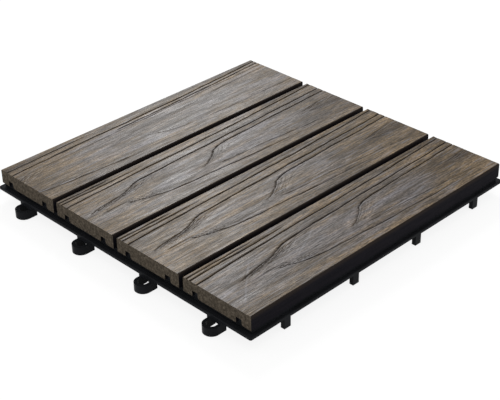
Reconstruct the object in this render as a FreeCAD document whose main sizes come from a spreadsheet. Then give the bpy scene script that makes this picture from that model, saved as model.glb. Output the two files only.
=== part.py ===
import FreeCAD, Part
import math
import os
import Sketcher
from FreeCAD import Placement, Rotation, Vector

# Interlocking deck tile, millimetres
# Four composite boards lie side by side on one moulded base
# The origin is on the ground under the middle of the tile
# +X runs along the boards, +Y runs across them and +Z is up
# Loops stand out on the -X and +Y sides, pegs hang under the +X and -Y sides

# Boards
board_count = 4
board_pitch = 75.0
board_gap = 4.7
board_end_inset = 3.0
board_thickness = 12.5
board_edge_radius = 1.0

# Slots under each board
slot_width = 5.8
slot_depth = 5.0
slot_inset = 9.6
slot_lead_radius = 2.2

# Grain pressed into the top of each board
grain_depth = 0.5
grain_width = 0.9
grain_edge_offset = 14.5
grain_edge_step = 5.0
grain_short_line = 85.0
grain_drift = 9.0
grain_sway = 0.6
grain_sway_length = 30.0
grain_first_arch = 2.0
grain_arch_pitch = 119.0
grain_arch_offset = 2.0
grain_arch_wander = 10.0
grain_arch_upper = 20.5
grain_arch_lower = 28.5
grain_arch_nest = 6.5
grain_arch_reach = 70.0
grain_arch_lag = 31.0
grain_shift = 17.0
grain_last_shift = -27.2
grain_overrun = 4.0
grain_edge_points = 7
grain_arm_points = 8
grain_edge_bend = 1.5
grain_arm_spread = 1.8
grain_tip_share = 0.25
grain_tip_growth = 0.5

# Base, heights from the ground
base_height = 15.2
base_corner_radius = 1.5
flange_height = 9.45
flange_thickness = 2.4
flange_edge_chamfer = 0.5
rim_end_inset = 2.0
rim_side_inset = 0.75
rim_thickness = 2.5
lattice_height = 6.0
rib_thickness = 2.0
cells_per_board = 3

# Rails that lie in the slots
rail_clearance = 0.3
rail_top_clearance = 0.6

# Feet
foot_side = 12.0

# Screws and the bosses that they pass through
screws_per_board = 2
cells_between_screws = 7
screw_diameter = 3.5
screw_reach = 8.5
screw_head_diameter = 7.0
screw_head_height = 2.0
boss_margin = 2.5
screw_hole_clearance = 0.4
screw_pilot_clearance = 0.1
pilot_extra_depth = 0.8

# Loops
loop_height = 7.0
loop_width = 14.4
loop_wall = 2.9
loop_end_wall = 3.0
loop_reach = 9.4
loop_corner_radius = 7.0
loop_eye_radius = 3.9
loop_root_inset = 5.5
web_thickness = 3.0

# Pegs
peg_width = 6.5
peg_thickness = 3.8
peg_lift = 0.3
peg_tip_chamfer = 0.5

# Every size above goes into the sheet under its own name
sizes = {name: item for name, item in dict(globals()).items() if type(item) in (int, float)}

doc = FreeCAD.newDocument("deck_tile")
sheet = doc.addObject("Spreadsheet::Sheet", "Sizes")
for row, name in enumerate(sizes, 1):
    sheet.set("A%d" % row, name)
    sheet.set("B%d" % row, str(sizes[name]))
    sheet.setAlias("B%d" % row, name)
doc.recompute()


def bind(item, path, formula):
    item.setExpression(path, formula)


# Formulas that several pieces share
BASE_SIDE = "(Sizes.board_count * Sizes.board_pitch)"
BOARD_WIDTH = "(Sizes.board_pitch - Sizes.board_gap)"
BOARD_LENGTH = "(%s - 2 * Sizes.board_end_inset)" % BASE_SIDE
BOARD_TOP = "Sizes.base_height + Sizes.board_thickness"
CELL_PITCH = "Sizes.board_pitch / Sizes.cells_per_board"
CELL_COUNT = "(Sizes.board_count * Sizes.cells_per_board - 1)"
CELL_SIDE = "(%s - Sizes.rib_thickness)" % CELL_PITCH
LATTICE_SIDE = "(%s * %s + Sizes.rib_thickness)" % (CELL_COUNT, CELL_PITCH)
DECK_WIDTH = "(%s - Sizes.board_gap)" % BASE_SIDE
RIM_LENGTH = "(%s - 2 * Sizes.rim_end_inset)" % BOARD_LENGTH
RIM_WIDTH = "(%s - 2 * Sizes.rim_side_inset)" % DECK_WIDTH
FIRST_BOARD = "(Sizes.board_pitch * (Sizes.board_count - 1) / 2)"
FLANGE_TOP = "(Sizes.flange_height + Sizes.flange_thickness)"
SLOT_SPACING = "(%s - 2 * Sizes.slot_inset - Sizes.slot_width)" % BOARD_WIDTH
SCREW_SPACING = "(Sizes.cells_between_screws * %s)" % CELL_PITCH
SCREW_REACH = "(%s * (Sizes.screws_per_board - 1) / 2)" % SCREW_SPACING

# Screws along the boards and across them, as a pattern's axes, counts and spacings
SCREW_GRID = (
    "X_Axis",
    "Sizes.screws_per_board",
    SCREW_SPACING,
    "Y_Axis",
    "Sizes.board_count",
    "Sizes.board_pitch",
)


def number(formula):
    """The present value of a formula of named sizes."""
    return float(sheet.evalExpression(formula))


def origin_item(body, role):
    for item in body.Origin.OriginFeatures:
        if item.Role == role:
            return item
    raise ValueError(role)


def new_body(name):
    body = doc.addObject("PartDesign::Body", name)
    body.Label = name
    return body


def new_sketch(body, name, role="XY_Plane", height=None, turn=0.0):
    """A sketch on one of the body's own planes, lifted to a height and turned about Z."""
    sketch = body.newObject("Sketcher::SketchObject", name)
    sketch.AttachmentSupport = [(origin_item(body, role), "")]
    sketch.MapMode = "FlatFace"
    lift = number(height) if height else 0.0
    sketch.AttachmentOffset = Placement(Vector(0, 0, lift), Rotation(Vector(0, 0, 1), turn))
    if height:
        bind(sketch, "AttachmentOffset.Base.z", height)
    return sketch


def outline(sketch, corners):
    """A closed outline of straight lines, its corners joined, and the number of its first line."""
    first = sketch.GeometryCount
    count = len(corners)
    for index in range(count):
        start = Vector(*corners[index], 0)
        end = Vector(*corners[(index + 1) % count], 0)
        sketch.addGeometry(Part.LineSegment(start, end), False)
    for index in range(count):
        after = first + (index + 1) % count
        sketch.addConstraint(Sketcher.Constraint("Coincident", first + index, 2, after, 1))
    for index in range(count):
        start = corners[index]
        end = corners[(index + 1) % count]
        if abs(start[1] - end[1]) < 1e-6:
            sketch.addConstraint(Sketcher.Constraint("Horizontal", first + index))
        elif abs(start[0] - end[0]) < 1e-6:
            sketch.addConstraint(Sketcher.Constraint("Vertical", first + index))
    return first


def dimension(sketch, constraint, formula):
    index = sketch.addConstraint(constraint)
    name = "size%d" % index
    sketch.renameConstraint(index, name)
    bind(sketch, "Constraints." + name, formula)
    return index


def away(sketch, line, end, axis, formula):
    """Sets how far a point lies from the sketch's origin along an axis, on the side of its sign."""
    kind = "Distance" + axis
    distance = number(formula)
    if distance < 0:
        rule = Sketcher.Constraint(kind, line, end, -1, 1, -distance)
        return dimension(sketch, rule, "-(%s)" % formula)
    rule = Sketcher.Constraint(kind, -1, 1, line, end, distance)
    return dimension(sketch, rule, formula)


def rectangle(sketch, left, right, low, high):
    """A rectangle between four formulas."""
    x0, x1, y0, y1 = [number(formula) for formula in (left, right, low, high)]
    first = outline(sketch, [(x0, y0), (x1, y0), (x1, y1), (x0, y1)])
    away(sketch, first, 1, "X", left)
    away(sketch, first, 2, "X", right)
    away(sketch, first, 1, "Y", low)
    away(sketch, first + 2, 1, "Y", high)
    return first


def centred(sketch, width, height):
    """A rectangle about the sketch's origin."""
    half_width = number(width) / 2
    half_height = number(height) / 2
    corners = [(-half_width, -half_height), (half_width, -half_height)]
    corners += [(half_width, half_height), (-half_width, half_height)]
    first = outline(sketch, corners)
    sketch.addConstraint(Sketcher.Constraint("Symmetric", first, 1, first + 2, 1, -1, 1))
    across = Sketcher.Constraint("DistanceX", first, 1, first, 2, number(width))
    dimension(sketch, across, width)
    up = Sketcher.Constraint("DistanceY", first + 1, 1, first + 1, 2, number(height))
    dimension(sketch, up, height)
    return first


def circle(sketch, x, y, radius):
    """A circle whose centre and radius are formulas."""
    centre = Vector(number(x), number(y), 0)
    index = sketch.addGeometry(Part.Circle(centre, Vector(0, 0, 1), number(radius)), False)
    dimension(sketch, Sketcher.Constraint("Radius", index, number(radius)), radius)
    for axis, formula in (("X", x), ("Y", y)):
        if abs(number(formula)) < 1e-9:
            other = -2 if axis == "X" else -1
            sketch.addConstraint(Sketcher.Constraint("PointOnObject", index, 3, other))
        else:
            away(sketch, index, 3, axis, formula)
    return index


def tongue(sketch, root, tip, middle, half, radius):
    """An outline from a straight root along -X to a tip with two round corners."""
    x0, x1, yc, h, r = [number(formula) for formula in (root, tip, middle, half, radius)]
    up = Vector(0, 0, 1)
    top = Part.LineSegment(Vector(x0, yc + h, 0), Vector(x1 + r, yc + h, 0))
    first = sketch.addGeometry(top, False)
    bend = Part.Circle(Vector(x1 + r, yc + h - r, 0), up, r)
    sketch.addGeometry(Part.ArcOfCircle(bend, math.pi / 2, math.pi), False)
    end = Part.LineSegment(Vector(x1, yc + h - r, 0), Vector(x1, yc - h + r, 0))
    sketch.addGeometry(end, False)
    bend = Part.Circle(Vector(x1 + r, yc - h + r, 0), up, r)
    sketch.addGeometry(Part.ArcOfCircle(bend, math.pi, 3 * math.pi / 2), False)
    low = Part.LineSegment(Vector(x1 + r, yc - h, 0), Vector(x0, yc - h, 0))
    sketch.addGeometry(low, False)
    back = Part.LineSegment(Vector(x0, yc - h, 0), Vector(x0, yc + h, 0))
    last = sketch.addGeometry(back, False)
    for line in range(first, first + 4):
        sketch.addConstraint(Sketcher.Constraint("Tangent", line, 2, line + 1, 1))
    sketch.addConstraint(Sketcher.Constraint("Coincident", first + 4, 2, last, 1))
    sketch.addConstraint(Sketcher.Constraint("Coincident", last, 2, first, 1))
    sketch.addConstraint(Sketcher.Constraint("Horizontal", first))
    sketch.addConstraint(Sketcher.Constraint("Vertical", last))
    sketch.addConstraint(Sketcher.Constraint("Vertical", first + 2))
    sketch.addConstraint(Sketcher.Constraint("Horizontal", first + 4))
    sketch.addConstraint(Sketcher.Constraint("Equal", first + 1, first + 3))
    dimension(sketch, Sketcher.Constraint("Radius", first + 1, r), radius)
    away(sketch, first, 1, "Y", "(%s + %s)" % (middle, half))
    away(sketch, last, 1, "Y", "(%s - %s)" % (middle, half))
    away(sketch, first, 1, "X", root)
    away(sketch, first + 2, 1, "X", tip)


def pad(body, sketch, name, length, midplane=False):
    feature = body.newObject("PartDesign::Pad", name)
    feature.Profile = (sketch, [""])
    feature.Length = number(length)
    bind(feature, "Length", length)
    if midplane:
        feature.Midplane = True
    sketch.Visibility = False
    doc.recompute()
    return feature


def pocket(body, sketch, name, length=None, reverse=False):
    """Cuts a sketch to a depth, or right through both ways, and checks that it cut."""
    before = body.Shape.Volume
    feature = body.newObject("PartDesign::Pocket", name)
    feature.Profile = (sketch, [""])
    if length:
        feature.Length = number(length)
        bind(feature, "Length", length)
        feature.Reversed = reverse
    else:
        feature.Type = "ThroughAll"
        feature.Midplane = True
    sketch.Visibility = False
    doc.recompute()
    if body.Shape.Volume > before - 1e-3:
        raise ValueError("%s cuts nothing" % name)
    return feature


def pattern(
    body, feature_list, name, role, count, spacing, role_two=None, count_two=None, spacing_two=None
):
    """Repeats features in a row or in a grid."""
    repeat = body.newObject("PartDesign::LinearPattern", name)
    repeat.Originals = feature_list
    repeat.Direction = (origin_item(body, role), [""])
    repeat.Mode = "Spacing"
    repeat.Offset = number(spacing)
    bind(repeat, "Offset", spacing)
    repeat.Occurrences = int(number(count))
    bind(repeat, "Occurrences", count)
    if role_two:
        spacing_two = spacing_two or spacing
        repeat.Direction2 = (origin_item(body, role_two), [""])
        repeat.Mode2 = "Spacing"
        repeat.Offset2 = number(spacing_two)
        bind(repeat, "Offset2", spacing_two)
        repeat.Occurrences2 = int(number(count_two))
        repeat.Spacings2 = [-1.0] * (int(number(count_two)) - 1)
        bind(repeat, "Occurrences2", count_two)
    body.Tip = repeat
    doc.recompute()
    return repeat


def edges_where(shape, test):
    names = []
    for index, edge in enumerate(shape.Edges):
        if test(edge):
            names.append("Edge%d" % (index + 1))
    return names


def fillet(body, name, test, radius):
    base = body.Tip
    names = edges_where(base.Shape, test)
    if not names:
        raise ValueError("%s finds no edge" % name)
    feature = body.newObject("PartDesign::Fillet", name)
    feature.Base = (base, names)
    feature.Radius = number(radius)
    bind(feature, "Radius", radius)
    doc.recompute()
    return feature


def chamfer(body, name, test, side):
    base = body.Tip
    names = edges_where(base.Shape, test)
    if not names:
        raise ValueError("%s finds no edge" % name)
    feature = body.newObject("PartDesign::Chamfer", name)
    feature.Base = (base, names)
    feature.Size = number(side)
    bind(feature, "Size", side)
    doc.recompute()
    return feature


def is_vertical(edge, reach):
    box = edge.BoundBox
    upright = box.XLength < 1e-6 and box.YLength < 1e-6
    return upright and abs(abs(box.XMin) - reach) < 1e-3 and abs(abs(box.YMin) - reach) < 1e-3


# Flange round the base and the rim that stands on it, open in the middle
def add_flange(body):
    sketch = new_sketch(body, "flange_outline", height="Sizes.flange_height")
    centred(sketch, BASE_SIDE, BASE_SIDE)
    pad(body, sketch, "flange", "Sizes.flange_thickness")
    half = number(BASE_SIDE) / 2
    fillet(body, "flange_corners", lambda edge: is_vertical(edge, half), "Sizes.base_corner_radius")
    top = number(FLANGE_TOP)
    chamfer(
        body,
        "flange_edge",
        lambda edge: edge.BoundBox.ZMin > top - 1e-4,
        "Sizes.flange_edge_chamfer",
    )
    sketch = new_sketch(body, "window_outline")
    side = "(%s - Sizes.rib_thickness)" % LATTICE_SIDE
    centred(sketch, side, side)
    pocket(body, sketch, "window")
    sketch = new_sketch(body, "rim_outline", height=FLANGE_TOP)
    wall = "2 * Sizes.rim_thickness"
    centred(sketch, RIM_LENGTH, RIM_WIDTH)
    centred(sketch, "(%s - %s)" % (RIM_LENGTH, wall), "(%s - %s)" % (RIM_WIDTH, wall))
    pad(body, sketch, "rim", "Sizes.base_height - %s" % FLANGE_TOP)


# Lattice of ribs with open cells between them
def build_lattice():
    body = new_body("lattice")
    sketch = new_sketch(body, "lattice_outline", height="Sizes.lattice_height")
    centred(sketch, LATTICE_SIDE, LATTICE_SIDE)
    pad(body, sketch, "lattice_block", "Sizes.base_height - Sizes.lattice_height")
    sketch = new_sketch(body, "cell_outline")
    start = "(-%s * %s / 2 + Sizes.rib_thickness / 2)" % (CELL_COUNT, CELL_PITCH)
    end = "(%s + %s)" % (start, CELL_SIDE)
    rectangle(sketch, start, end, start, end)
    cell = pocket(body, sketch, "cell")
    pattern(body, [cell], "cells", "X_Axis", CELL_COUNT, CELL_PITCH, "Y_Axis", CELL_COUNT)
    return body


# Rails that the slots of the boards drop over
def build_rails():
    body = new_body("rail_rows")
    sketch = new_sketch(body, "rail_outline", height="Sizes.base_height")
    end = "(%s / 2)" % RIM_LENGTH
    centre = "(-%s - %s / 2)" % (FIRST_BOARD, SLOT_SPACING)
    half = "(Sizes.slot_width / 2 - Sizes.rail_clearance)"
    for shift in ("", " + %s" % SLOT_SPACING):
        middle = "(%s%s)" % (centre, shift)
        low = "(%s - %s)" % (middle, half)
        high = "(%s + %s)" % (middle, half)
        rectangle(sketch, "-%s" % end, end, low, high)
    rail = pad(body, sketch, "rail", "Sizes.slot_depth - Sizes.rail_top_clearance")
    pattern(body, [rail], "rails", "Y_Axis", "Sizes.board_count", "Sizes.board_pitch")
    return body


# Square feet under the boards' centre lines, and one in the middle on a cross of short ribs
def build_feet():
    body = new_body("feet")
    side = "Sizes.foot_side"
    half = "Sizes.foot_side / 2"
    low = "(-%s - %s)" % (FIRST_BOARD, half)
    high = "(-%s + %s)" % (FIRST_BOARD, half)
    sketch = new_sketch(body, "foot_outline")
    rectangle(sketch, low, high, low, high)
    foot = pad(body, sketch, "foot", "Sizes.base_height")
    count = "Sizes.board_count"
    pattern(body, [foot], "foot_grid", "X_Axis", count, "Sizes.board_pitch", "Y_Axis", count)
    sketch = new_sketch(body, "centre_foot_outline")
    centred(sketch, side, side)
    pad(body, sketch, "centre_foot", "Sizes.base_height")
    length = "(%s + Sizes.rib_thickness)" % CELL_SIDE
    spans = ((length, "Sizes.rib_thickness"), ("Sizes.rib_thickness", length))
    for name, (along, across) in zip(("centre_rib_x", "centre_rib_y"), spans):
        sketch = new_sketch(body, name + "_outline", height="Sizes.lattice_height")
        centred(sketch, along, across)
        pad(body, sketch, name, "Sizes.base_height - Sizes.lattice_height")
    return body


# Square bosses that the screws pass up through
def build_bosses():
    body = new_body("bosses")
    half = "((Sizes.screw_head_diameter + Sizes.boss_margin) / 2)"
    sketch = new_sketch(body, "boss_outline", height="Sizes.lattice_height")
    start = "(-%s)" % SCREW_REACH
    row = "(-%s)" % FIRST_BOARD
    sides = ["(%s %s %s)" % (place, sign, half) for place in (start, row) for sign in "-+"]
    rectangle(sketch, *sides)
    boss = pad(body, sketch, "boss", "Sizes.base_height - Sizes.lattice_height")
    pattern(body, [boss], "boss_grid", *SCREW_GRID)
    return body


# Round bores through the bosses
def build_bores():
    body = new_body("bores")
    sketch = new_sketch(body, "bore_outline")
    radius = "(Sizes.screw_diameter + Sizes.screw_hole_clearance) / 2"
    circle(sketch, "(-%s)" % SCREW_REACH, "(-%s)" % FIRST_BOARD, radius)
    bore = pad(body, sketch, "bore", BOARD_TOP)
    pattern(body, [bore], "bore_grid", *SCREW_GRID)
    return body


# A row of loops, each a ring whose arms run in under a block that hangs from the flange
def add_loops(body, name, turn, axis):
    face = "(-%s / 2)" % BASE_SIDE
    root = "(%s + Sizes.loop_root_inset)" % face
    far = "(%s - Sizes.loop_reach)" % face
    middle = "(-%s)" % FIRST_BOARD
    half = "Sizes.loop_width / 2"
    sketch = new_sketch(body, name + "_ring_outline", turn=turn)
    tongue(sketch, root, far, middle, half, "Sizes.loop_corner_radius")
    ring = pad(body, sketch, name + "_ring", "Sizes.loop_height")
    sketch = new_sketch(body, name + "_eye_outline", turn=turn)
    eye = "(%s - Sizes.loop_wall)" % half
    tip = "(%s + Sizes.loop_end_wall)" % far
    tongue(sketch, root, tip, middle, eye, "Sizes.loop_eye_radius")
    hole = pocket(body, sketch, name + "_eye", "Sizes.loop_height", True)
    sketch = new_sketch(body, name + "_block_outline", height="Sizes.loop_height", turn=turn)
    rectangle(sketch, face, root, "(%s - %s)" % (middle, half), "(%s + %s)" % (middle, half))
    block = pad(body, sketch, name + "_block", "Sizes.flange_height - Sizes.loop_height")
    sketch = new_sketch(body, name + "_web_outline", height="Sizes.lattice_height", turn=turn)
    thin = "Sizes.web_thickness / 2"
    inner = "(-%s / 2 + Sizes.rib_thickness)" % LATTICE_SIDE
    rectangle(sketch, root, inner, "(%s - %s)" % (middle, thin), "(%s + %s)" % (middle, thin))
    web = pad(body, sketch, name + "_web", "Sizes.flange_height - Sizes.lattice_height")
    step = "Sizes.board_pitch"
    pattern(body, [ring, hole, block, web], name, axis, "Sizes.board_count", step)


# A row of pegs, flush with the flange's edge
def add_pegs(body, name, turn, axis):
    sketch = new_sketch(body, name + "_outline", height="Sizes.peg_lift", turn=turn)
    face = "(-%s / 2)" % BASE_SIDE
    inner = "(%s + Sizes.peg_thickness)" % face
    middle = "(-%s)" % FIRST_BOARD
    half = "Sizes.peg_width / 2"
    rectangle(sketch, "(%s - %s)" % (middle, half), "(%s + %s)" % (middle, half), face, inner)
    peg = pad(body, sketch, name + "_peg", "Sizes.flange_height - Sizes.peg_lift")
    step = "Sizes.board_pitch"
    pattern(body, [peg], name, axis, "Sizes.board_count", step)
    face = number(BASE_SIDE) / 2 - peg_thickness
    low = peg_lift
    chamfer(
        body,
        name + "_tips",
        lambda edge: is_tip_edge(edge, low, face),
        "Sizes.peg_tip_chamfer",
    )


def is_tip_edge(edge, low, face):
    box = edge.BoundBox
    flat = box.ZLength < 1e-6 and abs(box.ZMin - low) < 1e-4
    outside = max(abs(box.XMin), abs(box.XMax), abs(box.YMin), abs(box.YMax)) > face - 1e-4
    short = edge.Length < peg_width + peg_thickness
    return flat and outside and short and edge.Curve.TypeId == "Part::GeomLine"


# Base, one moulded piece
def build_base():
    border = new_body("border")
    add_flange(border)
    add_loops(border, "end_loops", 0.0, "Y_Axis")
    add_loops(border, "side_loops", -90.0, "X_Axis")
    add_pegs(border, "side_pegs", 0.0, "X_Axis")
    add_pegs(border, "end_pegs", 90.0, "Y_Axis")
    joined = doc.addObject("Part::MultiFuse", "joined")
    joined.Shapes = [border, build_lattice(), build_feet(), build_bosses(), build_rails()]
    joined.Refine = True
    base = doc.addObject("Part::Cut", "base_grid")
    base.Label = "base_grid"
    base.Base = joined
    base.Tool = build_bores()
    base.Refine = True
    doc.recompute()
    return base


# Grain, three lines by the +Y edge and a row of arches that open along the board
def edge_line(shift, offset, length, drift):
    """Points along the board, from the -X end, that drift towards the +Y edge."""
    half_length = number(BOARD_LENGTH) / 2
    half_width = number(BOARD_WIDTH) / 2
    line = []
    for step in range(grain_edge_points):
        share = step / (grain_edge_points - 1.0)
        along = grain_overrun * (2 * share - 1) + length * share
        sway = grain_sway * math.sin((along - shift) / grain_sway_length)
        line.append((along - half_length, half_width - offset + drift * share ** grain_edge_bend + sway))
    return line


def arch_arm(apex, across, target, reach, length):
    """Points that leave an arch's apex and settle at a line along the board."""
    line = []
    for step in range(grain_arm_points):
        along = length * (step / (grain_arm_points - 1.0)) ** grain_arm_spread
        climb = 1 - math.exp(-along / reach)
        line.append((apex + along, across + (target - across) * climb))
    return line


def grain_lines(shift):
    half_length = number(BOARD_LENGTH) / 2
    half_width = number(BOARD_WIDTH) / 2
    offset = grain_edge_offset
    lines = [edge_line(shift, offset, 2 * half_length, grain_drift)]
    for row in (1, 2):
        side = offset - row * grain_edge_step
        lines.append(edge_line(shift, side, grain_short_line / row, 0.0))
    for arch in range(3):
        apex = grain_first_arch + arch * grain_arch_pitch + shift - half_length
        across = -grain_arch_offset - grain_arch_wander * (arch % 2)
        nest = arch * grain_arch_nest
        upper = grain_arch_upper - nest
        lower = -grain_arch_lower + nest / 2
        reach = grain_arch_reach / (1 + arch)
        lag = grain_arch_lag / (1 + arch) ** 2
        length = half_length + grain_overrun - apex
        lines.append(arch_arm(apex, across, upper, reach, length))
        lines.append(arch_arm(apex + lag, across, lower, grain_arch_reach, length - lag))
    limit = half_length + grain_overrun
    kept = [[point for point in line if -limit < point[0] <= limit + 1e-6] for line in lines]
    return [line for line in kept if len(line) > 2]


def groove_solid(line, top):
    """One groove as a prism that is thin at its first point and reaches its full width along it."""
    depth = grain_depth
    width = grain_width
    left = []
    right = []
    for index, point in enumerate(line):
        before = line[max(index - 1, 0)]
        after = line[min(index + 1, len(line) - 1)]
        along = Vector(after[0] - before[0], after[1] - before[1], 0)
        along.normalize()
        side = Vector(-along.y, along.x, 0)
        full = min(1.0, grain_tip_share + grain_tip_growth * index)
        centre = Vector(point[0], point[1], top - depth)
        left.append(centre + side * (width * full / 2))
        right.append(centre - side * (width * full / 2))
    ring = left + right[::-1]
    face = Part.Face(Part.makePolygon(ring + [ring[0]]))
    return face.extrude(Vector(0, 0, depth + 1))


# Board, a slotted plank with softened top edges and pilot holes
def build_board(index, shift):
    name = "board_%d" % (index + 1)
    body = new_body(name + "_blank")
    sketch = new_sketch(body, name + "_section", "YZ_Plane")
    half = "%s / 2" % BOARD_WIDTH
    rectangle(sketch, "(-%s)" % half, half, "0", "Sizes.board_thickness")
    pad(body, sketch, name + "_plank", BOARD_LENGTH, True)
    top = board_thickness
    side = number(BOARD_WIDTH) / 2
    fillet(
        body,
        name + "_edges",
        lambda edge: is_long_edge(edge, side, top),
        "Sizes.board_edge_radius",
    )
    sketch = new_sketch(body, name + "_slots", "YZ_Plane")
    low = "(-%s + Sizes.slot_inset)" % half
    rectangle(sketch, low, "(%s + Sizes.slot_width)" % low, "0", "Sizes.slot_depth")
    high = "(%s - Sizes.slot_inset)" % half
    rectangle(sketch, "(%s - Sizes.slot_width)" % high, high, "0", "Sizes.slot_depth")
    pocket(body, sketch, name + "_slotted")
    inset = side - slot_inset
    leads = (-inset, inset - slot_width)
    fillet(
        body,
        name + "_slot_leads",
        lambda edge: is_lead_edge(edge, leads),
        "Sizes.slot_lead_radius",
    )
    sketch = new_sketch(body, name + "_pilot_outline")
    radius = "(Sizes.screw_diameter + Sizes.screw_pilot_clearance) / 2"
    circle(sketch, "(-%s)" % SCREW_REACH, "0", radius)
    depth = "Sizes.screw_reach + Sizes.pilot_extra_depth"
    pilot = pocket(body, sketch, name + "_pilot", depth, True)
    pattern(body, [pilot], name + "_pilots", *SCREW_GRID[:3])
    doc.recompute()
    grooves = doc.addObject("Part::Feature", name + "_grain")
    grooves.Shape = Part.makeCompound([groove_solid(line, top) for line in grain_lines(shift)])
    board = doc.addObject("Part::Cut", name)
    board.Label = name
    board.Base = body
    board.Tool = grooves
    place = "Sizes.board_pitch * (%d - (Sizes.board_count - 1) / 2)" % index
    board.Placement = Placement(Vector(0, number(place), base_height), Rotation())
    bind(board, "Placement.Base.y", place)
    bind(board, "Placement.Base.z", "Sizes.base_height")
    doc.recompute()
    return board


def is_long_edge(edge, side, top):
    box = edge.BoundBox
    at_top = abs(box.ZMin - top) < 1e-4 and box.ZLength < 1e-6
    return at_top and box.YLength < 1e-6 and abs(abs(box.YMin) - side) < 1e-4


def is_lead_edge(edge, sides):
    box = edge.BoundBox
    flat = box.YLength < 1e-6 and box.ZLength < 1e-6 and abs(box.ZMin) < 1e-6
    return flat and min(abs(box.YMin - side) for side in sides) < 1e-4


# Screws, each with its head under a boss and its shank up in a board
def build_screws():
    body = new_body("screws")
    sketch = new_sketch(body, "screw_section", "XZ_Plane")
    head = screw_head_diameter / 2
    shank = screw_diameter / 2
    seat = screw_head_height
    reach = "(%s + Sizes.base_height - Sizes.lattice_height + Sizes.screw_reach)"
    reach = reach % "Sizes.screw_head_height"
    end = number(reach)
    corners = [(0, 0), (head, 0), (head, seat), (shank, seat), (shank, end), (0, end)]
    first = outline(sketch, corners)
    sketch.addConstraint(Sketcher.Constraint("Coincident", first, 1, -1, 1))
    away(sketch, first + 1, 1, "X", "Sizes.screw_head_diameter / 2")
    away(sketch, first + 2, 1, "Y", "Sizes.screw_head_height")
    away(sketch, first + 3, 1, "X", "Sizes.screw_diameter / 2")
    away(sketch, first + 4, 1, "Y", reach)
    turned = body.newObject("PartDesign::Revolution", "screw")
    turned.Profile = (sketch, [""])
    turned.ReferenceAxis = (sketch, ["V_Axis"])
    turned.Angle = 360.0
    sketch.Visibility = False
    doc.recompute()
    pattern(body, [turned], "screw_grid", *SCREW_GRID)
    places = ("-%s" % SCREW_REACH, "-%s" % FIRST_BOARD)
    places += ("Sizes.lattice_height - Sizes.screw_head_height",)
    body.Placement = Placement(Vector(*[number(place) for place in places]), Rotation())
    for axis, place in zip("xyz", places):
        bind(body, "Placement.Base." + axis, place)
    doc.recompute()
    return body


nodes = [build_base()]
for board_index in range(board_count):
    shift = 0.0
    if board_index == 0:
        shift = grain_shift
    elif board_index == board_count - 1:
        shift = grain_last_shift
    nodes.append(build_board(board_index, shift))
nodes.append(build_screws())
doc.recompute()

# Every object is sound before anything is written
for item in doc.Objects:
    if "Invalid" in item.State or "Error" in item.State:
        raise ValueError("%s is %s" % (item.Name, item.State))
for node in nodes:
    if node.Shape.isNull() or not node.Shape.isValid():
        raise ValueError("%s has no valid shape" % node.Label)

os.makedirs("parts", exist_ok=True)
for node in nodes:
    node.Shape.exportStep("parts/%s.step" % node.Label)
    print(node.Label, "solids", len(node.Shape.Solids), "volume", round(node.Shape.Volume, 1))
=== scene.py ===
import math
from collections import namedtuple

import bpy
import numpy as np
from mathutils import Matrix, Vector


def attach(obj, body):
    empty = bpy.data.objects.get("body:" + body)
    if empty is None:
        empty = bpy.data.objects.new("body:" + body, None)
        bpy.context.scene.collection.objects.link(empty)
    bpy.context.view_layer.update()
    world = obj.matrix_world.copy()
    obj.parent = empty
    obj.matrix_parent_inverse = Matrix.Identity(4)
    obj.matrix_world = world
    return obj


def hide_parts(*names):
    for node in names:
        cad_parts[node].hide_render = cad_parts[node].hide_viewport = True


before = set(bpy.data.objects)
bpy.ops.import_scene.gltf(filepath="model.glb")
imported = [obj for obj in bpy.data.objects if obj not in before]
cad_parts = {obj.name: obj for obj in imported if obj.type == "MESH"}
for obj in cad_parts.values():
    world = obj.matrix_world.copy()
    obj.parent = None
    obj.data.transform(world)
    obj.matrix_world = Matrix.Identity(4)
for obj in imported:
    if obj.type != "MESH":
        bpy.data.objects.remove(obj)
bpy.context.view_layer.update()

MM = 0.001

# Boards, millimetres
BOARDS = 4
BOARD_PITCH = 75.0
BOARD_WIDTH = 70.3
BOARD_LENGTH = 294.0
BOARD_BOTTOM = 15.2
BOARD_TOP = 27.7
EDGE_RADIUS = 1.0
SLOT_INSET = 9.6
SLOT_WIDTH = 5.8
SLOT_DEPTH = 5.0
SLOT_LEAD = 2.2

# Mesh of a board: millimetres between neighbouring points, edges in each rounding, and degrees
# from which an edge is sharp
STEP_ALONG = 0.9
STEP_ACROSS = 0.45
CORNER_STEPS = 4
LEAD_STEPS = 4
SHARP_ANGLE = 35

# The order of a board's materials
TOP = 0
SIDE = 1
END = 2

# How many edges of the +Y rounding look like the top, and how far down the sides are lighter, partly the
# top's colour over the edge and partly painted bounce light from the tops
CAP_STEPS = 2
TINT_AND_BOUNCE_HEIGHT = 4.0

# Depth of the grooves, how far from the roundings they fade out, and widths of lines, millimetres
GROOVE_DEPTH = 0.5
EDGE_FADE = 0.4
GROOVE_WIDTH = 0.62
STRAND_WIDTH = 0.4
SMEAR_WIDTH = 2.4
SCRATCH_WIDTH = 0.7
# How much farther apart the fibres lie at the +X end than at the -X end
FIBRE_FAN = 0.25
# Fray of the arches: seed, size, and over how many points across the board it is evened out
FRAY_SEED = 5
FRAY = 1.0
FRAY_SPAN = 5
# Shallow hollows along the fibres: seed, depth, most depth, and stations from one to the next
RELIEF_SEED = 11
RELIEF = 0.035
RELIEF_LIMIT = 0.12
RELIEF_SPACING = 8

# Waves by which a line strays from its course, or a strength from its level
Waves = namedtuple("Waves", "size length")
STEADY = Waves(0.0, 1.0)
# The shorter waves that go with them, as shares of their length, phase and size
SHORT_LENGTH = 0.31
SHORT_PHASE = 2.3
SHORT_SIZE = 0.45
# Lengths over which a line fades in at its start and out at its end
Fade = namedtuple("Fade", "rise fall")
# A place past the end of every board
BEYOND = 400.0

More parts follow.
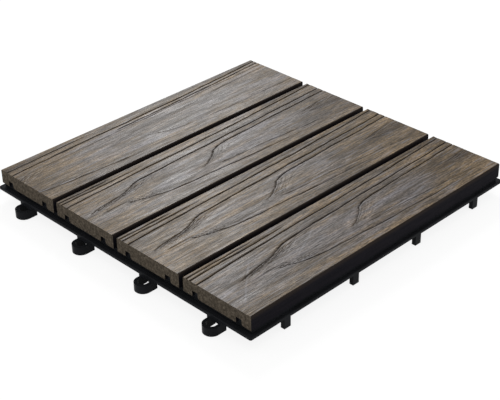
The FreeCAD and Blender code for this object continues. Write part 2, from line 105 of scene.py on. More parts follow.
# A line across a board: its distance from the +Y side at the start, how far it drifts outwards
# over the board's length, its sway, where it starts and ends, and how strong it is
Line = namedtuple("Line", "offset drift sway start end strength")
LINE_WAVES = Waves(0.2, 11.0)
LINE_FADE = Fade(14.0, 30.0)
LINE_LEVEL = 0.88
LINE_LEVEL_WAVES = Waves(0.08, 7.0)
# The share of the board's length over which the drift goes on past each end, a place where the
# sway is nil, and the length of the sway
DRIFT_PAST = 0.1
SWAY_START = 120.0
SWAY_LENGTH = 45.0

# An arch of the grain: where its point lies along and across the board; the upper side's quick
# rise, its step, the step's place and its slope; the lower side's lag, swing, reach, slope and
# curve; where the lower side ends; the strength of the upper side at first and further on, of the
# lower side, of the strands inside and of the dark patch inside
Arch = namedtuple(
    "Arch",
    "start middle quick step place slope lag swing reach fall curve end near far low strands patch",
)
# How gradual the quick rise and the step are
QUICK_REACH = 12.0
STEP_REACH = 6.0
# The least distance from an arch's point to where its upper side is done bending, and the length
# over which the side then grows to its further strength
BEND_LEAST = 20.0
UPPER_GROWTH = 12.0
UPPER_WAVES = Waves(0.25, 9.0)
UPPER_FADE = Fade(8.0, 1.0)
UPPER_LEVEL = 0.9
UPPER_LEVEL_WAVES = Waves(0.07, 8.0)
LOWER_WAVES = Waves(0.3, 12.0)
LOWER_FADE = Fade(10.0, 40.0)
LOWER_LEVEL = 0.85
LOWER_LEVEL_WAVES = Waves(0.12, 10.0)

# A mark along a side of an arch: its strength, its level and the waves around it, where it starts
# and ends past the arch's point, how it fades, how far towards +Y of the side it lies, its width
Mark = namedtuple("Mark", "strength level waves start end fade beside width")
UPPER_SHADE = Mark(0.58, 1.0, STEADY, -6.0, 14.0, Fade(8.0, 14.0), -1.2, SMEAR_WIDTH)
# Painted highlight beside the upper side, where a raised edge would catch the light
UPPER_HIGHLIGHT = Mark(0.35, 0.5, Waves(0.4, 5.0), 4.0, 30.0, Fade(10.0, 20.0), -1.3, STRAND_WIDTH)
LOWER_SHADE = Mark(0.42, 1.0, STEADY, -6.0, 40.0, Fade(8.0, 22.0), 0.0, SMEAR_WIDTH)
# Painted highlight beside the lower side, where a raised edge would catch the light
LOWER_HIGHLIGHT = Mark(0.6, 0.5, Waves(0.4, 4.0), 6.0, 95.0, Fade(12.0, 30.0), 1.2, STRAND_WIDTH * 1.4)

# Strands inside an arch, along one side: their waves, where they end and how much further each
# one goes than the one before
Strands = namedtuple("Strands", "waves end step")
UPPER_STRANDS = Strands(Waves(0.6, 5.0), 10.0, 5.0)
LOWER_STRANDS = Strands(Waves(0.35, 7.0), 34.0, 7.0)
STRAND_FADE = Fade(9.0, 18.0)
STRAND_LOSS = 0.1
# How many there are with the arch itself, and how far each is set in from the one before. Each
# millimetre of that puts its point so much further along and its sides so much further in
STRANDS = 6
STRAND_GAP = 1.05
STRAND_ALONG = 3.0
STRAND_IN = 0.5

# The dark patch inside an arch: its width as a share of the arch's, its least width, its fade
PATCH_SHARE = 0.45
PATCH_LEAST = 0.8
PATCH_FADE = Fade(25.0, 1.0)

# A light scratch on a board: its ends along and across, and how strong it is
Scratch = namedtuple("Scratch", "start middle end last strength")
SCRATCH_WAVES = Waves(0.4, 9.0)
SCRATCH_FADE = Fade(6.0, 10.0)

# Boards 1 to 3 have like grain, and board 4 has its own
LIKE_LINES = (
    Line(14.2, 10.0, 0.7, -60.0, 340.0, 1.0),
    Line(7.2, 2.0, 0.3, -60.0, 92.0, 0.95),
    Line(3.6, 1.5, 0.2, -60.0, 66.0, 0.8),
    Line(6.6, 3.8, 0.3, 130.0, 340.0, 0.3),
    Line(10.4, 4.5, 0.4, 190.0, 340.0, 0.3),
    Line(41.0, 0.5, 0.3, 6.0, 60.0, 0.5),
)
LIKE_ARCHES = (
    Arch(
        2.0, -2.0, 6.0, 8.0, 52.0, 0.03, 31.0, 15.0, 20.0, 0.05, 0.0, 235.0,
        0.55, 0.95, 0.7, 0.55, 0.0,
    ),
    Arch(
        118.0, -12.0, 4.0, 17.0, 19.0, 0.03, 8.0, 2.5, 8.0, 0.02, 0.0004, 285.0,
        0.55, 0.9, 0.5, 0.4125, 0.0,
    ),
    Arch(
        244.0, -2.0, 1.0, 0.0, 0.0, 0.10, 2.0, 2.0, 8.0, 0.19, 0.0, 320.0,
        0.5, 0.4, 0.4, 0.55, 0.6,
    ),
)
LAST_LINES = (
    Line(16.2, 11.0, 0.9, -60.0, 340.0, 1.0),
    Line(8.6, 10.0, 0.4, -60.0, 100.0, 0.85),
    Line(21.0, 11.5, 0.6, 105.0, 340.0, 0.8),
    Line(3.2, 0.5, 0.2, 170.0, 340.0, 0.35),
)
LAST_ARCHES = (
    Arch(
        -25.0, -2.0, 6.0, 8.0, 24.0, 0.03, -8.0, 18.0, 20.0, 0.05, 0.0, 118.0,
        0.45, 0.45, 0.6, 0.55, 0.0,
    ),
    Arch(
        92.0, 0.0, 5.0, 3.5, 128.0, 0.035, 24.0, 21.0, 22.0, 0.005, 0.0, 320.0,
        0.3, 0.42, 0.42, 0.225, 0.0,
    ),
)
SCRATCHES = (
    Scratch(5.0, -24.0, 51.0, 18.0, 0.30),
    Scratch(76.0, -7.0, 119.0, 13.0, 0.26),
    Scratch(104.0, -19.0, 124.0, -11.0, 0.2),
)
# Each board's grain: how far it is shifted along the board, its lines, arches and scratches
BOARD_GRAIN = (
    (17.0, LIKE_LINES, LIKE_ARCHES, SCRATCHES),
    (0.0, LIKE_LINES, LIKE_ARCHES, ()),
    (0.0, LIKE_LINES, LIKE_ARCHES, ()),
    (0.0, LAST_LINES, LAST_ARCHES, ()),
)

# How tan each board is at its -X end and at its +X end, and how much more it is all over
END_TAN = ((0.0, 1.3), (0.95, 1.3), (0.7, 0.6), (1.1, 0.45))
BOARD_TAN = (0.0, 0.35, 0.0, 0.05)
# How tan a board is at its long sides, and how much of the lesser tan adds to the greater one
SIDE_TAN = 0.9
TAN_OVERLAP = 0.3
# The grey band along a board: where its middle lies across, half its width and its fade
GREY_MIDDLE = -3.0
GREY_HALF = 12.0
GREY_FADE = 18.0
# How far from the middle of a board's length the tan of its ends starts, and its fade
END_START = 65.0
END_FADE = 60.0


def srgb(red, green, blue):
    """A colour as seen on a screen, 0 to 255, as the linear colour of a shader."""
    def linear(channel):
        share = channel / 255.0
        return share / 12.92 if share <= 0.04045 else ((share + 0.055) / 1.055) ** 2.4
    return (linear(red), linear(green), linear(blue), 1.0)


def even(level):
    """A grey of a linear level."""
    return (level, level, level, 1.0)


# Materials. Noise lies mostly between 0.35 and 0.65, so the ramps and spans of it start and end
# about there
def seen_rays(tree):
    """1 for a ray from the camera or off or through a shiny surface, 0 for any other."""
    path = tree.nodes.new("ShaderNodeLightPath")
    seen = path.outputs["Is Camera Ray"]
    for kind in ("Is Glossy Ray", "Is Transmission Ray"):
        either = tree.nodes.new("ShaderNodeMath")
        either.operation = "MAXIMUM"
        tree.links.new(seen, either.inputs[0])
        tree.links.new(path.outputs[kind], either.inputs[1])
        seen = either.outputs["Value"]
    return seen


class Nodes:
    """A material's node tree with short calls for the nodes used here."""

    def __init__(self, name):
        self.material = bpy.data.materials.new(name)
        self.material.use_nodes = True
        self.tree = self.material.node_tree
        self.shader = self.tree.nodes["Principled BSDF"]
        self.coordinates = self.tree.nodes.new("ShaderNodeTexCoord").outputs["Object"]

    def link(self, source, target):
        self.tree.links.new(source, target)

    def follow(self, name):
        """Lay the textures along a vector kept at each point of the mesh."""
        node = self.tree.nodes.new("ShaderNodeAttribute")
        node.attribute_name = name
        self.coordinates = node.outputs["Vector"]

    def attribute(self, name):
        """A number kept at each point of the mesh."""
        node = self.tree.nodes.new("ShaderNodeAttribute")
        node.attribute_name = name
        return node.outputs["Fac"]

    def height(self):
        """The height above the ground, in metres."""
        parts = self.tree.nodes.new("ShaderNodeSeparateXYZ")
        self.link(self.coordinates, parts.inputs["Vector"])
        return parts.outputs["Z"]

    def scaled(self, scale, offset):
        """The coordinates in waves per metre along each axis, moved by an offset."""
        mapping = self.tree.nodes.new("ShaderNodeMapping")
        mapping.inputs["Scale"].default_value = scale
        mapping.inputs["Location"].default_value = (offset, offset, offset)
        self.link(self.coordinates, mapping.inputs["Vector"])
        return mapping.outputs["Vector"]

    def noise(self, scale, detail, roughness, offset=0.0):
        """Noise with its own scale along each axis, in waves per metre."""
        texture = self.tree.nodes.new("ShaderNodeTexNoise")
        texture.inputs["Scale"].default_value = 1.0
        texture.inputs["Detail"].default_value = detail
        texture.inputs["Roughness"].default_value = roughness
        self.link(self.scaled(scale, offset), texture.inputs["Vector"])
        return texture.outputs["Fac"]

    def cells(self, scale):
        """The distance to the middle of the nearest cell, in cells per metre along each axis."""
        texture = self.tree.nodes.new("ShaderNodeTexVoronoi")
        texture.inputs["Scale"].default_value = 1.0
        self.link(self.scaled(scale, 0.0), texture.inputs["Vector"])
        return texture.outputs["Distance"]

    def ramp(self, source, *stops):
        """The colour for a number, from stops of a number and its colour."""
        ramp = self.tree.nodes.new("ShaderNodeValToRGB")
        elements = ramp.color_ramp.elements
        while len(elements) < len(stops):
            elements.new(0.5)
        for element, (place, colour) in zip(elements, stops):
            element.position = place
            element.color = colour
        self.link(source, ramp.inputs["Fac"])
        return ramp.outputs["Color"]

    def span(self, source, low, high, to_low=0.0, to_high=1.0):
        """A number from low to high as one from to_low to to_high, held at both ends."""
        node = self.tree.nodes.new("ShaderNodeMapRange")
        node.inputs["From Min"].default_value = low
        node.inputs["From Max"].default_value = high
        node.inputs["To Min"].default_value = to_low
        node.inputs["To Max"].default_value = to_high
        self.link(source, node.inputs["Value"])
        return node.outputs["Result"]

    def math(self, operation, first, second):
        """The sum, the product or the greater of two numbers."""
        node = self.tree.nodes.new("ShaderNodeMath")
        node.operation = operation
        for index, item in enumerate((first, second)):
            if isinstance(item, float):
                node.inputs[index].default_value = item
            else:
                self.link(item, node.inputs[index])
        return node.outputs["Value"]

    def mix(self, share, first, second):
        """Two colours mixed, with the given share of the second."""
        node = self.tree.nodes.new("ShaderNodeMix")
        node.data_type = "RGBA"
        for name, kind, item in (("Factor", "VALUE", share), ("A", "RGBA", first), ("B", "RGBA", second)):
            target = [socket for socket in node.inputs if socket.name == name and socket.type == kind][0]
            if isinstance(item, tuple):
                target.default_value = item
            else:
                self.link(item, target)
        return [socket for socket in node.outputs if socket.type == "RGBA"][0]

    def shade(self, colour, level):
        """A colour times a number that varies over the surface."""
        scaled = self.tree.nodes.new("ShaderNodeVectorMath")
        scaled.operation = "SCALE"
        self.link(colour, scaled.inputs[0])
        self.link(level, scaled.inputs["Scale"])
        return scaled.outputs["Vector"]

    def bump(self, source, strength, distance):
        """A relief under the shader's normal, its distance in metres."""
        node = self.tree.nodes.new("ShaderNodeBump")
        node.inputs["Strength"].default_value = strength
        node.inputs["Distance"].default_value = distance
        self.link(source, node.inputs["Height"])
        self.link(node.outputs["Normal"], self.shader.inputs["Normal"])

    def colour(self, source):
        self.link(source, self.shader.inputs["Base Color"])

    def finish(self, roughness, specular):
        """Set how rough and how shiny the surface is, and give the material."""
        if isinstance(roughness, float):
            self.shader.inputs["Roughness"].default_value = roughness
        else:
            self.link(roughness, self.shader.inputs["Roughness"])
        self.shader.inputs["Specular IOR Level"].default_value = specular
        return self.material


def board_top_material():
    """Grey and tan fibres with specks, dark dashes, painted glints of sheen, and the board's own grain
    with painted highlights beside its grooves and light scratches.
    """
    nodes = Nodes("board_top")
    nodes.follow("flow")
    broad = nodes.noise((9.0, 90.0, 1.0), detail=3.0, roughness=0.55)
    patch = nodes.noise((16.0, 150.0, 1.0), detail=2.0, roughness=0.5, offset=17.0)
    streak = nodes.noise((26.0, 330.0, 1.0), detail=3.0, roughness=0.62, offset=5.0)
    fibre = nodes.noise((90.0, 820.0, 1.0), detail=2.0, roughness=0.6, offset=3.0)
    speck = nodes.noise((420.0, 1000.0, 1.0), detail=2.0, roughness=0.5, offset=7.0)
    dash = nodes.noise((45.0, 760.0, 1.0), detail=1.0, roughness=0.4, offset=21.0)
    gleam = nodes.noise((40.0, 700.0, 1.0), detail=1.0, roughness=0.4, offset=33.0)
    grey = nodes.ramp(
        broad,
        (0.36, srgb(78, 70, 63)),
        (0.50, srgb(95, 88, 84)),
        (0.64, srgb(110, 105, 106)),
    )
    tan = nodes.ramp(
        broad,
        (0.36, srgb(75, 62, 46)),
        (0.50, srgb(97, 82, 62)),
        (0.64, srgb(119, 101, 78)),
    )
    warm = nodes.math("ADD", nodes.attribute("tan"), nodes.span(patch, 0.38, 0.62, -0.36, 0.62))
    base = nodes.mix(nodes.span(warm, 0.0, 1.0), grey, tan)
    base = nodes.shade(base, nodes.span(streak, 0.36, 0.64, 0.88, 1.13))
    base = nodes.shade(base, nodes.span(fibre, 0.37, 0.63, 0.58, 1.42))
    base = nodes.shade(base, nodes.span(speck, 0.38, 0.62, 0.70, 1.30))
    base = nodes.mix(nodes.span(dash, 0.57, 0.64, 0.0, 0.65), base, srgb(50, 42, 33))
    # Painted glints of sheen along the fibres, bluish white
    base = nodes.mix(nodes.span(gleam, 0.58, 0.65, 0.0, 0.35), base, srgb(138, 137, 143))
    # Painted highlights beside the grooves, where a raised edge would catch the light, and the light
    # scratches of wear
    base = nodes.mix(nodes.attribute("highlight_and_scratch"), base, srgb(153, 152, 158))
    base = nodes.mix(nodes.attribute("smear"), base, srgb(57, 46, 35))
    groove = nodes.attribute("groove")
    nodes.colour(nodes.mix(nodes.span(groove, 0.12, 0.6, 0.0, 0.96), base, srgb(17, 13, 10)))
    height = nodes.math("ADD", nodes.math("MULTIPLY", streak, 0.5), nodes.math("MULTIPLY", fibre, 0.5))
    nodes.bump(height, strength=0.5, distance=0.0006)
    satin = nodes.span(streak, 0.36, 0.64, 0.42, 0.31)
    satin = nodes.math("ADD", satin, nodes.span(patch, 0.38, 0.62, -0.02, 0.03))
    dull = nodes.span(groove, 0.1, 0.5, 0.0, 0.9)
    return nodes.finish(nodes.math("MAXIMUM", satin, dull), specular=0.08)


def board_side_material():
    """A dark cap over the sides and the underside, a little lighter and browner near the top, partly the
    top's colour over the edge and partly painted bounce light from the tops.
    """
    nodes = Nodes("board_side")
    tone = nodes.noise((40.0, 300.0, 500.0), detail=3.0, roughness=0.6)
    plain = nodes.ramp(tone, (0.35, srgb(21, 20, 25)), (0.65, srgb(28, 26, 31)))
    # Lighter and browner towards the top of the side: partly the top's colour over the edge, partly
    # painted bounce light from the tops in the gaps
    top_tint_and_bounce = nodes.span(nodes.height(), (BOARD_TOP - TINT_AND_BOUNCE_HEIGHT) * MM, BOARD_TOP * MM, 0.0, 0.4)
    nodes.colour(nodes.mix(top_tint_and_bounce, plain, srgb(70, 60, 50)))
    rough = nodes.noise((120.0, 700.0, 900.0), detail=3.0, roughness=0.6, offset=2.0)
    nodes.bump(rough, strength=0.3, distance=0.0003)
    return nodes.finish(0.5, specular=0.02)


def board_end_material():
    """The cut end of the composite, with its grains."""
    nodes = Nodes("board_end")
    tone = nodes.noise((700.0, 420.0, 420.0), detail=4.0, roughness=0.65)
    grains = nodes.cells((900.0, 1000.0, 1000.0))
    base = nodes.ramp(
        tone,
        (0.34, srgb(54, 48, 41)),
        (0.50, srgb(92, 83, 72)),
        (0.66, srgb(128, 117, 103)),
    )
    nodes.colour(nodes.mix(nodes.span(grains, 0.1, 0.55, 0.0, 0.6), base, srgb(68, 62, 53)))
    nodes.bump(tone, strength=0.5, distance=0.0004)
    return nodes.finish(0.75, specular=0.05)


def plastic_material():
    """The black plastic of the base, finely grained."""
    nodes = Nodes("base_plastic")
    tone = nodes.noise((60.0, 60.0, 60.0), detail=2.0, roughness=0.5)
    nodes.colour(nodes.ramp(tone, (0.3, srgb(29, 30, 32)), (0.7, srgb(35, 36, 39))))
    pores = nodes.noise((1500.0, 1500.0, 1500.0), detail=2.0, roughness=0.5, offset=4.0)
    nodes.bump(pores, strength=0.12, distance=0.0001)
    mottle = nodes.noise((350.0, 350.0, 350.0), detail=3.0, roughness=0.6, offset=9.0)
    return nodes.finish(nodes.span(mottle, 0.3, 0.7, 0.20, 0.28), specular=0.025)


def steel_material():
    """The plain steel of the screws."""
    nodes = Nodes("screw_steel")
    tone = nodes.noise((900.0, 900.0, 900.0), detail=3.0, roughness=0.5)
    nodes.colour(nodes.ramp(tone, (0.3, srgb(178, 178, 176)), (0.7, srgb(205, 205, 202))))
    nodes.shader.inputs["Metallic"].default_value = 1.0
    return nodes.finish(nodes.span(tone, 0.3, 0.7, 0.28, 0.42), specular=0.5)


# Grain
def gate(along, start, end, fade):
    """0 beyond two places along the board, and 1 between them once faded in and out."""
    rise = np.clip((along - start) / fade.rise, 0.0, 1.0)
    fall = np.clip((end - along) / fade.fall, 0.0, 1.0)
    return rise * fall


def stray(along, waves, phase):
    """How far a line is off its course, or a strength off its level."""
    long_wave = np.sin(along / waves.length + phase)
    short_wave = np.sin(along / (waves.length * SHORT_LENGTH) + phase * SHORT_PHASE)
    return waves.size * (long_wave + SHORT_SIZE * short_wave)


def side_line(along, line, shift, phase):
    """The course of a line across the board, at each place along it."""
    share = np.clip((along - shift) / BOARD_LENGTH, -DRIFT_PAST, 1.0 + DRIFT_PAST)
    sway = line.sway * np.sin((along - shift - SWAY_START) / SWAY_LENGTH)
    return BOARD_WIDTH / 2 - line.offset + line.drift * share - sway + stray(along, LINE_WAVES, phase)


def upper_side(along, arch, shift, inset):
    """The course of an arch's +Y side, and how far past its point each place lies."""
    past = along - arch.start - shift - inset * STRAND_ALONG
    quick = arch.quick * (1 - np.exp(-np.clip(past, 0.0, None) / QUICK_REACH))
    step = arch.step / (1 + np.exp(-(past - arch.place) / STEP_REACH))
    return arch.middle + quick + step + arch.slope * past - inset * STRAND_IN, past


def lower_side(along, arch, shift, inset):
    """The course of an arch's -Y side, and how far past its point each place lies."""
    past = along - arch.start - arch.lag - shift - inset * STRAND_ALONG
    ahead = np.clip(past, 0.0, None)
    swing = arch.swing * (1 - np.exp(-ahead / arch.reach))
    return arch.middle - swing - arch.fall * ahead - arch.curve * ahead ** 2 + inset * STRAND_IN, past


class Grain:
    """A board's grain at each point: how deep it is, its dark shade, and its light marks: painted
    highlights beside the grooves and light scratches.
    """

    def __init__(self, along, across, shift):
        self.along = along
        self.across = across
        self.shift = shift
        fray = np.random.default_rng(FRAY_SEED).normal(size=across.shape[1] + FRAY_SPAN - 1) * FRAY
        fray = np.convolve(fray, np.ones(FRAY_SPAN) / math.sqrt(FRAY_SPAN), "valid")
        self.frayed = along + fray[None, :]
        # The third layer holds painted highlights beside the grooves and the light scratches
        self.layers = {name: np.zeros_like(across) for name in ("groove", "smear", "highlight_and_scratch")}

    def keep(self, name, values):
        """Keep what is stronger at each point of a layer."""
        self.layers[name] = np.maximum(self.layers[name], values)

    def draw(self, name, course, width, strength):
        """Draw a line that is at full strength on its course and less beside it."""
        slope = np.gradient(course, STEP_ALONG, axis=0)
        self.keep(name, strength * np.exp(-((self.across - course) / width) ** 2 / (1 + slope ** 2)))

    def draw_mark(self, name, mark, course, past, end, phase):
        """Draw a mark along a side of an arch."""
        strength = mark.strength * gate(past, mark.start, end, mark.fade)
        strength = strength * (mark.level + stray(self.along, mark.waves, phase))
        self.draw(name, course + mark.beside, mark.width, strength)

    def draw_line(self, number, line):
        """Draw one of the long lines, with phases of its own so that no two stray alike."""
        course = side_line(self.along, line, self.shift, number + self.shift)
        strength = line.strength * gate(self.along - self.shift, line.start, line.end, LINE_FADE)
        strength = strength * (LINE_LEVEL + stray(self.along, LINE_LEVEL_WAVES, number))
        self.draw("groove", course, GROOVE_WIDTH, strength)

    def draw_upper(self, number, arch, bend):
        """Draw an arch's +Y side and give its course."""
        course, past = upper_side(self.frayed, arch, self.shift, 0.0)
        course = course + stray(self.along, UPPER_WAVES, number + 1.0)
        strength = np.interp(past, [0.0, bend, bend + UPPER_GROWTH], [arch.near, arch.near, arch.far])
        strength = strength * gate(past, 0.0, BEYOND, UPPER_FADE)
        strength = strength * (UPPER_LEVEL + stray(self.along, UPPER_LEVEL_WAVES, number + 3.0))
        self.draw("groove", course, GROOVE_WIDTH, strength)
        self.draw_mark("smear", UPPER_SHADE, course, past, bend + UPPER_SHADE.end, number)
        # Painted highlight beside the upper side
        self.draw_mark("highlight_and_scratch", UPPER_HIGHLIGHT, course, past, bend + UPPER_HIGHLIGHT.end, number)
        return course

    def draw_lower(self, number, arch):
        """Draw an arch's -Y side and give its course."""
        course, past = lower_side(self.frayed, arch, self.shift, 0.0)
        course = course + stray(self.along, LOWER_WAVES, number + 4.0)
        strength = arch.low * gate(past, 0.0, arch.end - arch.start - arch.lag, LOWER_FADE)
        strength = strength * (LOWER_LEVEL + stray(self.along, LOWER_LEVEL_WAVES, number + 5.0))
        self.draw("groove", course, GROOVE_WIDTH, strength)
        self.draw_mark("smear", LOWER_SHADE, course, past, LOWER_SHADE.end, number)
        # Painted highlight beside the lower side
        self.draw_mark("highlight_and_scratch", LOWER_HIGHLIGHT, course, past, LOWER_HIGHLIGHT.end, number + 1.0)
        return course

    def draw_strand(self, strand, side, end, arch, strands, phase):
        """Draw a strand inside an arch along one of its sides, each weaker than the last."""
        course, past = side(self.frayed, arch, self.shift, strand * STRAND_GAP)
        course = course + stray(self.along, strands.waves, phase)
        fade = gate(past, 0.0, end + strands.step * strand, STRAND_FADE)
        strength = arch.strands * fade * (1 - STRAND_LOSS * strand)
        self.draw("groove", course, STRAND_WIDTH, strength)

    def draw_arch(self, number, arch):
        """Draw an arch's two sides, the strands inside it and its dark patch."""
        bend = max(arch.place, BEND_LEAST)
        upper = self.draw_upper(number, arch, bend)
        lower = self.draw_lower(number, arch)
        for strand in range(1, STRANDS):
            phase = strand * 1.7 + number
            self.draw_strand(strand, upper_side, bend + UPPER_STRANDS.end, arch, UPPER_STRANDS, phase)
            phase = strand + number + 2.0
            self.draw_strand(strand, lower_side, LOWER_STRANDS.end, arch, LOWER_STRANDS, phase)
        width = np.clip(np.abs(upper - lower) * PATCH_SHARE, PATCH_LEAST, None)
        patch = np.exp(-((self.across - (upper + lower) / 2) / width) ** 2)
        patch = patch * gate(self.frayed - self.shift, arch.start, BEYOND, PATCH_FADE)
        self.keep("smear", arch.patch * patch)

    def draw_scratch(self, scratch):
        """Draw a light scratch, straight but for its waves."""
        slant = (scratch.last - scratch.middle) / (scratch.end - scratch.start)
        course = scratch.middle + slant * (self.along - scratch.start)
        course = course + stray(self.along, SCRATCH_WAVES, scratch.start)
        faint = scratch.strength * gate(self.along, scratch.start, scratch.end, SCRATCH_FADE)
        self.draw("highlight_and_scratch", course, SCRATCH_WIDTH, faint)


def board_grain(along, across, shift, lines, arches, scratches):
    """The layers of a board's grain, each from 0 to 1."""
    grain = Grain(along, across, shift)
    for number, line in enumerate(lines):
        grain.draw_line(number, line)
    for number, arch in enumerate(arches):
        grain.draw_arch(number, arch)
    for scratch in scratches:
        grain.draw_scratch(scratch)
    return {name: np.clip(values, 0.0, 1.0) for name, values in grain.layers.items()}


def fine_relief(index, stations, columns):
    """Shallow hollows along the fibres, seeded for each board."""
    random = np.random.default_rng(RELIEF_SEED + index)
    rough = random.normal(size=(stations // RELIEF_SPACING + 2, columns))
    # Ends just short of the last row, so that each place has a row after it
    places = np.linspace(0, rough.shape[0] - 1.001, stations)
    whole = places.astype(int)
    part = (places - whole)[:, None]
    part = part * part * (3 - 2 * part)
    smooth = rough[whole] * (1 - part) + rough[whole + 1] * part
    return np.clip(np.abs(smooth) * RELIEF, 0.0, RELIEF_LIMIT)


def board_tan(index, along, across):
    """How tan a board is at each point, from grey at 0 to tan at 1 and more."""
    sides = np.clip((np.abs(across - GREY_MIDDLE) - GREY_HALF) / GREY_FADE, 0.0, 1.0) * SIDE_TAN
    ends = np.clip((np.abs(along - BOARD_LENGTH / 2) - END_START) / END_FADE, 0.0, 1.0)
    ends = ends * np.where(along < BOARD_LENGTH / 2, *END_TAN[index])
    return np.maximum(sides, ends) + TAN_OVERLAP * np.minimum(sides, ends) + BOARD_TAN[index]


# Boards
def quarter_turn(steps):
    """The sine and cosine of even steps from 0 to a quarter turn."""
    angles = [math.pi / 2 * index / steps for index in range(steps + 1)]
    return [(math.sin(angle), math.cos(angle)) for angle in angles]


def board_section():
    """The points of a board's outline round from the top's -Y edge, each edge's material, and how
    many of the points lie on the top."""
    half = BOARD_WIDTH / 2
    radius = EDGE_RADIUS
    flat = BOARD_WIDTH - 2 * radius
    count = int(round(flat / STEP_ACROSS))
    points = [(-half + radius + flat * index / count, BOARD_TOP) for index in range(count + 1)]
    top_count = len(points)
    for sine, cosine in quarter_turn(CORNER_STEPS)[1:]:
        points.append((half - radius + radius * sine, BOARD_TOP - radius + radius * cosine))
    points.append((half, BOARD_BOTTOM))
    outer = half - SLOT_INSET
    inner = half - SLOT_INSET - SLOT_WIDTH
    for first, second in ((outer, inner), (-inner, -outer)):
        points.append((first, BOARD_BOTTOM))
        points.append((first, BOARD_BOTTOM + SLOT_DEPTH))
        points.append((second, BOARD_BOTTOM + SLOT_DEPTH))
        for sine, cosine in quarter_turn(LEAD_STEPS):
            points.append((second - SLOT_LEAD * (1 - cosine), BOARD_BOTTOM + SLOT_LEAD * (1 - sine)))
    points.append((-half, BOARD_BOTTOM))
    for sine, cosine in quarter_turn(CORNER_STEPS)[:-1]:
        points.append((-half + radius - radius * cosine, BOARD_TOP - radius + radius * sine))
    capped = top_count + CAP_STEPS
    kinds = [TOP] * capped + [SIDE] * (len(points) - capped)
    return np.array(points), kinds, top_count


def board_faces(stations, count):
    """Rows of faces between the stations' outlines, and a face at each end."""
    ring = np.arange(count)
    after = (ring + 1) % count
    base = (np.arange(stations - 1) * count)[:, None]
    quads = np.stack([base + ring, base + count + ring, base + count + after, base + after], axis=-1)
    faces = quads.reshape(-1, 4).tolist()
    faces.append(list(range(count)))
    faces.append([(stations - 1) * count + number for number in reversed(range(count))])
    return faces


def keep_layers(mesh, layers, flow):
    """Keep numbers and the direction of the fibres at each point of a mesh."""
    for name, values in layers.items():
        layer = mesh.attributes.new(name, "FLOAT", "POINT")
        layer.data.foreach_set("value", values.reshape(-1).astype(np.float32))
    layer = mesh.attributes.new("flow", "FLOAT_VECTOR", "POINT")
    layer.data.foreach_set("vector", flow.reshape(-1).astype(np.float32))


def make_board(index, materials):
    """A board as one closed mesh, with its grain pressed into the top."""
    section, kinds, top_count = board_section()
    count = len(section)
    stations = int(round(BOARD_LENGTH / STEP_ALONG)) + 1
    along = np.linspace(0.0, BOARD_LENGTH, stations)[:, None] * np.ones((1, count))
    across = np.ones((stations, 1)) * section[:, 0][None, :]
    height = np.ones((stations, 1)) * section[:, 1][None, :]
    layers = board_grain(along, across, *BOARD_GRAIN[index])
    edge = np.clip((BOARD_WIDTH / 2 - EDGE_RADIUS - np.abs(across)) / EDGE_FADE, 0.0, 1.0)
    on_top = (np.arange(count) < top_count)[None, :]
    layers = {name: values * on_top for name, values in layers.items()}
    layers["groove"] = layers["groove"] * edge
    layers["tan"] = board_tan(index, along, across)
    relief = np.zeros((stations, count))
    relief[:, :top_count] = fine_relief(index, stations, top_count)
    height = height - (layers["groove"] * GROOVE_DEPTH + relief * edge * on_top)
    middle = (index - (BOARDS - 1) / 2) * BOARD_PITCH
    points = np.stack([along - BOARD_LENGTH / 2, across + middle, height], axis=-1).reshape(-1, 3) * MM
    name = "board_%d_grained" % (index + 1)
    mesh = bpy.data.meshes.new(name)
    mesh.from_pydata(points.tolist(), [], board_faces(stations, count))
    face_kinds = kinds * (stations - 1) + [END, END]
    mesh.polygons.foreach_set("material_index", face_kinds)
    mesh.polygons.foreach_set("use_smooth", [True] * len(face_kinds))
    fanned = across / (1 + FIBRE_FAN * along / BOARD_LENGTH)
    flow = np.stack([along + index * BOARD_LENGTH, fanned, np.zeros_like(along)], axis=-1) * MM
    keep_layers(mesh, layers, flow)
    mesh.set_sharp_from_angle(angle=math.radians(SHARP_ANGLE))
    mesh.update()
    piece = bpy.data.objects.new(name, mesh)
    bpy.context.scene.collection.objects.link(piece)
    for material in materials:
        mesh.materials.append(material)
    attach(piece, "root")
    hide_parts("board_%d" % (index + 1))


def paint(node, material):
    """Give a solid of the frame its one material."""
    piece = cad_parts[node]
    piece.data.materials.clear()
    piece.data.materials.append(material)


# Studio, with lengths in metres
FLOOR_REACH = 6.0
FLOOR_DROP = 0.0002
FLOOR_GLOW = 0.86
FLOOR_SEEN = 0.2
FLOOR_TONES = (0.90, 0.93)
SKY_LEVEL = 0.66


def make_floor():
    """A floor seen as white away from the object, which keeps the object's shadow."""
    mesh = bpy.data.meshes.new("floor")
    corners = [(-1, -1), (1, -1), (1, 1), (-1, 1)]
    points = [(x * FLOOR_REACH, y * FLOOR_REACH, -FLOOR_DROP) for x, y in corners]
    mesh.from_pydata(points, [], [(0, 1, 2, 3)])
    floor = bpy.data.objects.new("floor", mesh)
    bpy.context.scene.collection.objects.link(floor)
    nodes = Nodes("floor_white")
    tone = nodes.noise((3.0, 3.0, 3.0), detail=2.0, roughness=0.5)
    plain = nodes.ramp(tone, (0.0, even(FLOOR_TONES[0])), (1.0, even(FLOOR_TONES[1])))
    seen = seen_rays(nodes.tree)
    nodes.colour(nodes.mix(seen, plain, even(FLOOR_SEEN)))
    nodes.shader.inputs["Emission Color"].default_value = even(1.0)
    nodes.link(nodes.math("MULTIPLY", seen, FLOOR_GLOW), nodes.shader.inputs["Emission Strength"])
    mesh.materials.append(nodes.finish(0.9, specular=0.0))


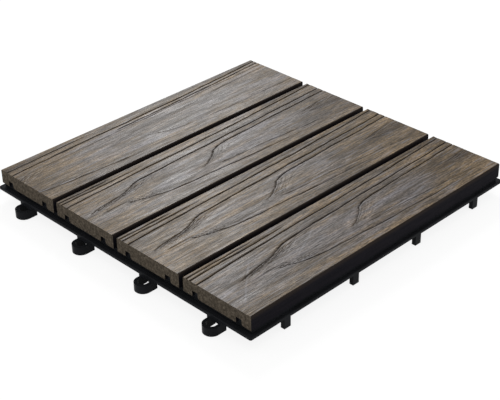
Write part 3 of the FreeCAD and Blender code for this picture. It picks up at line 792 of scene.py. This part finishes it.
def make_world():
    """A white surround that lights the object more softly than it is seen."""
    world = bpy.data.worlds.new("studio")
    bpy.context.scene.world = world
    world.use_nodes = True
    tree = world.node_tree
    background = tree.nodes["Background"]
    background.inputs["Color"].default_value = even(1.0)
    level = tree.nodes.new("ShaderNodeMapRange")
    level.inputs["To Min"].default_value = SKY_LEVEL
    level.inputs["To Max"].default_value = 1.0
    tree.links.new(seen_rays(tree), level.inputs["Value"])
    tree.links.new(level.outputs["Result"], background.inputs["Strength"])


def direction(azimuth, elevation):
    """The way from the middle to a place at an azimuth and an elevation, in degrees."""
    azimuth = math.radians(azimuth)
    elevation = math.radians(elevation)
    return Vector((
        math.cos(elevation) * math.cos(azimuth),
        math.cos(elevation) * math.sin(azimuth),
        math.sin(elevation),
    ))


def make_light(name, azimuth, elevation, distance, width, height, energy):
    """A rectangular light that faces the middle."""
    lamp = bpy.data.lights.new(name, "AREA")
    lamp.shape = "RECTANGLE"
    lamp.size = width
    lamp.size_y = height
    lamp.energy = energy
    light = bpy.data.objects.new(name, lamp)
    place = direction(azimuth, elevation)
    light.location = place * distance
    light.rotation_mode = "QUATERNION"
    light.rotation_quaternion = (-place).to_track_quat("-Z", "Y")
    bpy.context.scene.collection.objects.link(light)


# Camera, worked out from the perspective of the square deck: degrees, metres, and the optical
# axis in pixels right of and below the middle of an image of IMAGE_WIDTH
CAMERA_AZIMUTH = 224.657
CAMERA_ELEVATION = 31.637
CAMERA_ROLL = -0.534
CAMERA_DISTANCE = 0.9981
CAMERA_TARGET = Vector((-0.02932, -0.04830, BOARD_TOP * MM))
CAMERA_LENS = 90.0
SENSOR_WIDTH = 36.0
IMAGE_WIDTH = 500
AXIS_RIGHT = 17.25
AXIS_DOWN = 0.85


def make_camera():
    """A camera that looks at the target from its azimuth and elevation."""
    roll = math.radians(CAMERA_ROLL)
    back = direction(CAMERA_AZIMUTH, CAMERA_ELEVATION)
    right = (-back).cross(Vector((0, 0, 1))).normalized()
    up = right.cross(-back)
    tilted_right = right * math.cos(roll) + up * math.sin(roll)
    tilted_up = up * math.cos(roll) - right * math.sin(roll)
    camera = bpy.data.objects.new("camera", bpy.data.cameras.new("camera"))
    turn = Matrix((tilted_right, tilted_up, back)).transposed()
    place = CAMERA_TARGET + back * CAMERA_DISTANCE
    camera.matrix_world = Matrix.Translation(place) @ turn.to_4x4()
    camera.data.lens = CAMERA_LENS
    camera.data.sensor_width = SENSOR_WIDTH
    camera.data.shift_x = -AXIS_RIGHT / IMAGE_WIDTH
    camera.data.shift_y = AXIS_DOWN / IMAGE_WIDTH
    camera.data.clip_start = 0.01
    camera.data.clip_end = 50.0
    bpy.context.scene.collection.objects.link(camera)
    bpy.context.scene.camera = camera


board_materials = (board_top_material(), board_side_material(), board_end_material())
for board_index in range(BOARDS):
    make_board(board_index, board_materials)
paint("base_grid", plastic_material())
paint("screws", steel_material())
make_floor()
make_world()
make_light("key", azimuth=49.8, elevation=35.0, distance=3.0, width=0.36, height=0.95, energy=39.0)
make_camera()
bpy.context.scene.view_settings.view_transform = "Standard"
